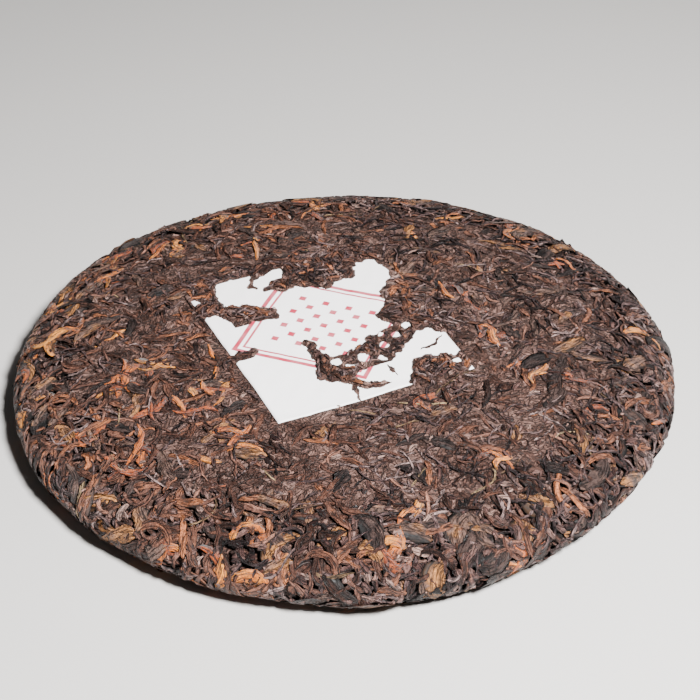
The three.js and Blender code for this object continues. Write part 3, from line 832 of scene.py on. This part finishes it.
def away_from_line(points, start, end):
    """How far points are from a straight line between two points."""
    start, end = np.array(start, float), np.array(end, float)
    along = np.clip((points - start) @ (end - start) / ((end - start) @ (end - start)), 0, 1)
    return np.linalg.norm(points - start - along[..., None] * (end - start), axis=-1)


def cover_map():
    """How fully leaves hide the ticket, from 0 to 1, on a fine grid of its own directions, and
    which places of the grid are bare paper."""
    axis = np.arange(-MASK_HALF, MASK_HALF, MASK_STEP)
    along, across = np.meshgrid(axis, axis, indexing="ij")
    place = np.stack([across, along], -1)
    solid_place = np.stack([across, along, 0 * across], -1)
    shifts = [lumps(solid_place, RAGGED_SIZE, seed) for seed in (41, 42)]
    ragged = place + RAGGED * np.stack(shifts, -1)
    hidden = np.zeros(across.shape, bool)
    for outline in HIDDEN.values():
        hidden |= inside_outline(ragged, outline)
    for spot_across, spot_along, radius in BARE_SPOTS:
        hidden &= np.hypot(ragged[..., 0] - spot_across, ragged[..., 1] - spot_along) > radius
    for line in SLIVERS:
        for start, end in zip(line, line[1:]):
            hidden |= away_from_line(ragged, start, end) < SLIVER_HALF
    cover = hidden.astype(float)
    for way in (0, 1) * COVER_SOFTENINGS:
        cover = (np.roll(cover, 1, way) + cover + np.roll(cover, -1, way)) / 3
    on_paper = (np.abs(place) < TICKET_SIZE / 2).all(-1)
    return cover, on_paper & (cover < 0.5)


cover, bare_paper = cover_map()


def touches_bare(points):
    """Whether points of the top lie over the part of the ticket that stays bare."""
    place = ((on_ticket(points) + MASK_HALF) / MASK_STEP).round().astype(int)
    on_grid = ((place >= 0) & (place < len(bare_paper))).all(-1)
    place = np.clip(place, 0, len(bare_paper) - 1)
    return bare_paper[place[..., 1], place[..., 0]] & on_grid & (points[..., 2] > WAIST_HEIGHT)


# The leaf dust that fills the hidden parts and holds their leaves together: a thin crust with a
# rounded edge, which goes down through the paper where it ends, so that its outline is sharp.
CRUST_STEP = 0.55
CRUST_MARGIN = 1.0
CRUST_RISE = 0.5
CRUST_UNDER_PAPER = 0.3
CRUST_SLOPE = 2.2  # how fast it rises to its full height as the cover grows from a half to one
CRUST_RELIEF = 0.1
CRUST_LUMPS = 2.5
LEAST_COVER = 0.2  # it has no faces where the cover is less than this


def make_crust():
    half = TICKET_SIZE / 2 + CRUST_MARGIN
    across = np.arange(-half[0], half[0], CRUST_STEP)
    along = np.arange(-half[1], half[1], CRUST_STEP)
    across, along = np.meshgrid(across, along, indexing="xy")
    point = ticket_point(across, along)
    place = ((np.stack([along, across], -1) + MASK_HALF) / MASK_STEP).round().astype(int)
    share = cover[place[..., 0], place[..., 1]]
    paper = ticket_relief(point)
    rise = np.clip((share - 0.5) * CRUST_SLOPE, -CRUST_UNDER_PAPER, 1) * CRUST_RISE
    rough = CRUST_RELIEF * np.maximum(rise, 0) / CRUST_RISE * lumps(point, CRUST_LUMPS, seed=61)
    top = paper + rise + rough
    is_hidden = share > 0.5
    lift_pile(point[is_hidden], top[is_hidden], spread=0.2)
    count = across.size
    quads = grid_quads(np.arange(count).reshape(across.shape))
    quads = quads[(share.ravel()[quads] > LEAST_COVER).any(1)]
    edges = np.stack([quads, np.roll(quads, -1, axis=1)], -1).reshape(-1, 2)
    is_rim = ~np.isin(edges[:, 0] * count + edges[:, 1], edges[:, 1] * count + edges[:, 0])
    start, end = edges[is_rim].T
    walls = np.stack([start, start + count, end + count, end], 1)
    faces = np.concatenate([quads, quads[:, ::-1] + count, walls])
    vertices = np.concatenate([point, point])
    vertices[..., 2] += np.concatenate([top, paper - CRUST_RISE])
    vertices = wavy_outline(vertices).reshape(-1, 3)
    used, faces = np.unique(faces, return_inverse=True)
    faces = faces.reshape(-1)
    return mesh_piece("leaf_crust", vertices[used], faces, np.full(len(faces) // 4, 4), {})


crust = make_crust()
crust.data.materials.append(tea_dust)
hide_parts("tea_cake")
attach(crust, "root")

# The rest of the leaves, which the cloth bag presses over the first ones and beside the bare
# paper. The last ones laid are pressed the least, so that they stand out.
upper_batches = []
for kind, make in KINDS.items():
    count = int(make["count"] * (1 if kind in STATIONS_OF_BITS else 1 - LOWER_PART))
    find_places = bunched_places if kind == "golden_tips" else places_over_skin
    leaves = new_leaves(kind, count, *find_places(count, make["right"]))
    leaves["laid"] = ~touches_bare(leaves["beside"]).any((1, 2))
    upper_batches.append(leaves)
lay_all(upper_batches, False, *UPPER_PRESS)

# The leaves and crumbs that were shaken on over the ticket. They fill its hidden parts up to their
# outlines, and the dust below holds them. Each row is a kind, how many are tried and their size.
COVERING = [
    ("twisted_leaves", 900, 0.6),
    ("folded_leaves", 900, 0.5),
    ("rolled_leaves", 900, 0.45),
    ("broken_leaves", 1600, 0.8),
    ("crumbs", 1600, 0.8),
]
COVER_CEILING = 0.8
COVER_PRESS = -0.1
COVER_PRESS_SPREAD = 0.1
LEAST_NEW = 0.3  # a leaf of which less than this share lies where none is yet is left out


def cover_ticket():
    """Lays small leaves over the hidden parts, each only where enough of it is not yet covered."""
    covered = np.zeros(pile.shape, bool)
    for kind, tries, size in COVERING:
        place = draw.uniform(-1, 1, (tries, 2)) * TICKET_SIZE / 2
        point = ticket_point(place[:, 0], place[:, 1])
        leaves = new_leaves(kind, tries, *nearest_on_skin(point), size)
        leaves["laid"] = ~touches_bare(leaves["beside"]).any((1, 2))
        leaves["ceiling"][:] = COVER_CEILING
        ceiling = np.full(leaves["cells"].shape[1], COVER_CEILING)
        for i in np.flatnonzero(leaves["laid"]):
            cells = leaves["cells"][i]
            leaves["laid"][i] = (~covered[cells]).mean() > LEAST_NEW
            if leaves["laid"][i]:
                lay(leaves, i, COVER_PRESS + draw.normal() * COVER_PRESS_SPREAD, ceiling)
                covered[cells[1:-1, 1:-1]] = True


cover_ticket()
shown_cells = np.bincount(top_leaf[top_leaf >= 0], minlength=leaves_so_far())
for leaves in all_leaves:
    leaves["laid"] &= shown_cells[leaves["number"]] >= LEAST_SHOWN

# The press lowers what stands further than this over its ceiling, by this share of the excess.
PRESSED_FROM = 0.1
PRESSED_SHARE = 0.8
FULL_THICKNESS = 1.2  # a leaf keeps its thickness until its taper is down to one over this
CUP_LEVEL = 0.3  # how far the middle of a cupped leaf lies below the line it follows
CUP_TILT = 0.25
CRUMPLE = 0.07
PROUDEST = 0.75  # how far a twisted leaf's sides stand up at most, in thicknesses


def leaf_solids(leaves):
    """The points of the laid leaves of one batch, with each leaf's own flat coordinates, its tone
    and how far its sides go down from its ridge."""
    keep = leaves["laid"]
    make = KINDS[leaves["kind"]]
    ring, stations = leaves["ring"], leaves["taper"].shape[1]
    ribs, rib_height = make["ribs"]
    around = np.linspace(0, 2 * math.pi, ring, endpoint=False)[None, None, :]
    share = np.linspace(-1, 1, stations)[None, :, None]
    taper = leaves["taper"][keep][:, :, None]
    width, thick, phase, turns, length, tone = [
        leaves[key][keep][:, None, None]
        for key in ("width", "thick", "seed", "turns", "length", "tone")
    ]
    rib = 1 + rib_height * np.cos(ribs * around + phase)
    across = np.cos(around) * rib * taper * width / 2
    rise = np.sin(around) * rib * np.minimum(taper * FULL_THICKNESS, 1) * thick / 2
    rise = rise + make["cup"] * thick * ((2 * across / width) ** 2 - CUP_LEVEL)
    # A cupped leaf lies about flat, and any other is twisted all along.
    if make["cup"] > 0:
        roll = CUP_TILT * np.sin(phase) + turns * share
    else:
        roll = turns * math.pi * share + phase
    turned_across = across * np.cos(roll) - rise * np.sin(roll)
    turned_rise = across * np.sin(roll) + rise * np.cos(roll)
    crumple = np.random.default_rng(7)
    turned_across = turned_across + CRUMPLE * crumple.normal(size=turned_across.shape)
    turned_rise = turned_rise + CRUMPLE * crumple.normal(size=turned_rise.shape)
    limit = PROUDEST * thick
    turned_rise = limit * np.tanh(turned_rise / limit)
    path = leaves["paths"][keep]
    height = leaves["height"][keep][:, :, None] + turned_rise
    proud = np.maximum(height - leaves["ceiling"][keep][:, :, None] - PRESSED_FROM, 0)
    height = height - PRESSED_SHARE * proud
    # How far each point lies below its leaf's ridge, which the leaf's material turns into painted shade.
    sunk = height.max(2, keepdims=True) - height
    points = (
        path[:, :, 0][:, :, None]
        + leaves["side"][keep][:, :, None] * turned_across[..., None]
        + path[:, :, 1][:, :, None] * height[..., None]
    )
    along = share * length / 2
    own = np.stack(np.broadcast_arrays(across + phase, rise, along + 3 * phase), -1)
    return points, own, np.broadcast_to(tone, points.shape[:-1]), sunk


def leaf_piece(kind):
    """One mesh of all the leaves of a kind."""
    parts = {key: [] for key in ("vertices", "loops", "sizes", "leaf", "tone", "sunk")}
    first = 0
    for leaves in all_leaves:
        if leaves["kind"] != kind:
            continue
        points, own, tone, sunk = leaf_solids(leaves)
        count, stations, ring = points.shape[:3]
        number = first + np.arange(count * stations * ring).reshape(count, stations, ring)
        first += number.size
        beside = np.roll(number, -1, axis=2)
        quads = np.stack([number[:, :-1], beside[:, :-1], beside[:, 1:], number[:, 1:]], -1)
        caps = np.concatenate([number[:, 0, ::-1], number[:, -1]])
        parts["vertices"].append(wavy_outline(points).reshape(-1, 3))
        parts["loops"] += [quads.ravel(), caps.ravel()]
        parts["sizes"] += [np.full(quads.size // 4, 4), np.full(len(caps), ring)]
        parts["leaf"].append(own.reshape(-1, 3))
        parts["tone"].append(tone.ravel())
        parts["sunk"].append(sunk.ravel())
    parts = {key: np.concatenate(values) for key, values in parts.items()}
    vertices = parts["vertices"]
    vertices[:, 2] = np.maximum(vertices[:, 2], 0)
    attributes = {key: parts[key] for key in ("leaf", "tone", "sunk")}
    return mesh_piece(kind, vertices, parts["loops"], parts["sizes"], attributes)


def dried_leaf(kind):
    """Rolled and dried leaf: a waxy, half matt skin shrunk into strands along the leaf, about a
    millimetre apart, with fine wrinkles across. Painted shade darkens the creases between the strands,
    the hollows and the sides that go down from the ridge, and painted light brightens ridges and tops."""
    make = KINDS[kind]
    material, add = new_material("dried leaf, " + kind)
    tone = add("Attribute", attribute_name="tone").outputs["Fac"]
    place = add("Attribute", attribute_name="leaf").outputs["Vector"]
    sunk = add("Attribute", attribute_name="sunk").outputs["Fac"]
    stretched = add("VectorMath", [(0, place), (1, (0.85, 0.85, 0.14))], operation="MULTIPLY")
    strands = add("TexNoise", [("Vector", stretched)], Scale=1.0, Detail=3.0, Distortion=0.5)
    wrinkles = add("TexNoise", [("Vector", place)], Scale=1.3, Detail=5.0, Roughness=0.7)
    patchy = add("TexNoise", [("Vector", place)], Scale=0.3, Detail=2.0)
    wander = add("Math", [(0, patchy), (1, 1.2), (2, -0.6)], operation="MULTIPLY_ADD")
    local_tone = add("Math", [(0, tone), (1, wander)], operation="ADD")
    colour = add("ValToRGB", [("Fac", local_tone)])
    spread_tones(colour.color_ramp, make["tones"])
    centred = add("Math", [(0, strands), (1, 0.5)], operation="SUBTRACT")
    from_crease = add("Math", [(0, centred)], operation="ABSOLUTE")
    # What makes a place darker or lighter: its range, and the shades at the two ends of that.
    # All four are painted light and shade: sides that go down from the ridge are darker and tops
    # lighter, the creases between the strands near black, and the ridges of the strands and
    # wrinkles lighter than their hollows.
    shades = [
        (sunk, (0.1, 0.45), (1.35, 0.09)),
        (from_crease, (0.0, 0.08), (0.024, 1.15)),
        (strands, (0.36, 0.64), (0.8, 1.25)),
        (wrinkles, (0.35, 0.65), (0.55, 1.45)),
    ]
    shade = 1.0
    for value, (start, end), (first, last) in shades:
        part = add(
            "MapRange", [("Value", value)],
            From_Min=start, From_Max=end, To_Min=first, To_Max=last,
        )
        shade = add("Math", [(0, shade), (1, part)], operation="MULTIPLY")
    shaded = add("VectorMath", [("Vector", colour), ("Scale", shade)], operation="SCALE")
    bump = add("Bump", [("Height", shade)], Strength=1.0, Distance=0.0004)
    rough = add(
        "MapRange", [("Value", wrinkles)],
        From_Min=0.3, From_Max=0.7, To_Min=make["rough"] - 0.12, To_Max=make["rough"] + 0.14,
    )
    # The sunken sides are rougher, so duller. Their darker colour, set above, is painted shade.
    duller_where_sunk = add("Math", [(0, sunk), (1, 0.5), (2, rough)], operation="MULTIPLY_ADD")
    shader = add(
        "BsdfPrincipled", [("Base Color", shaded), ("Normal", bump), ("Roughness", duller_where_sunk)],
        IOR=1.45, Specular_IOR_Level=0.35, Sheen_Weight=make.get("sheen", 0.0),
    )
    add("OutputMaterial", [("Surface", shader)])
    return material


for kind in KINDS:
    piece = leaf_piece(kind)
    piece.data.materials.append(dried_leaf(kind))
    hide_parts("tea_cake")
    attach(piece, "root")

# The floor and the light: a plain pale studio floor, a soft light in front and above, a little to
# the right, and a large weak one behind. Then the camera, where the photograph's outline of the
# cake puts it. The lights and the floor are placed in metres.
FLOOR_SIZE = 6
KEY_LIGHT = dict(place=(0.2, -0.33, 0.48), size=0.12, power=20)
RIM_LIGHT = dict(place=(0.4, 0.5, 0.7), size=0.5, power=0.8)
LIT_PLACE = (0, 0, 0.01)
WORLD_STRENGTH = 0.06
CAMERA_RISE = math.radians(37.24)
CAMERA_DISTANCE = 500
CAMERA_AIM = (-0.2, 1.4, 0.0)
CAMERA_LENS = 81.94
CAMERA_SHIFT = (5.7, 40.3)  # in pixels of the photograph
PHOTO_SIDE = 700


def make_floor():
    bpy.ops.mesh.primitive_plane_add(size=FLOOR_SIZE)
    floor = bpy.context.object
    floor.name = "floor"
    material, add = new_material("pale paper floor")
    shader = add("BsdfPrincipled", Base_Color=linear("#b9b6b3"), Roughness=0.9)
    add("OutputMaterial", [("Surface", shader)])
    floor.data.materials.append(material)


def make_light(name, place, size, power):
    data = bpy.data.lights.new(name, "AREA")
    data.shape = "DISK"
    data.size = size
    data.energy = power
    light = bpy.data.objects.new(name, data)
    light.location = place
    light.rotation_euler = (Vector(LIT_PLACE) - light.location).to_track_quat("-Z", "Y").to_euler()
    bpy.context.scene.collection.objects.link(light)


def make_world():
    world = bpy.data.worlds.new("studio")
    world.use_nodes = True
    background = world.node_tree.nodes["Background"]
    background.inputs["Color"].default_value = (1, 1, 1, 1)
    background.inputs["Strength"].default_value = WORLD_STRENGTH
    bpy.context.scene.world = world


def make_camera():
    """The camera of the photograph: its lens and its shift put the cake where the photo shows it."""
    data = bpy.data.cameras.new("camera")
    data.lens = CAMERA_LENS
    data.shift_x = CAMERA_SHIFT[0] / PHOTO_SIDE
    data.shift_y = CAMERA_SHIFT[1] / PHOTO_SIDE
    data.clip_start = 10 * MM
    camera = bpy.data.objects.new("camera", data)
    aim = Vector(CAMERA_AIM) * MM
    away = Vector((0, -math.cos(CAMERA_RISE), math.sin(CAMERA_RISE)))
    camera.location = aim + away * CAMERA_DISTANCE * MM
    camera.rotation_euler = (-away).to_track_quat("-Z", "Y").to_euler()
    bpy.context.scene.collection.objects.link(camera)
    bpy.context.scene.camera = camera


make_floor()
make_light("key", **KEY_LIGHT)
make_light("rim", **RIM_LIGHT)
make_world()
make_camera()
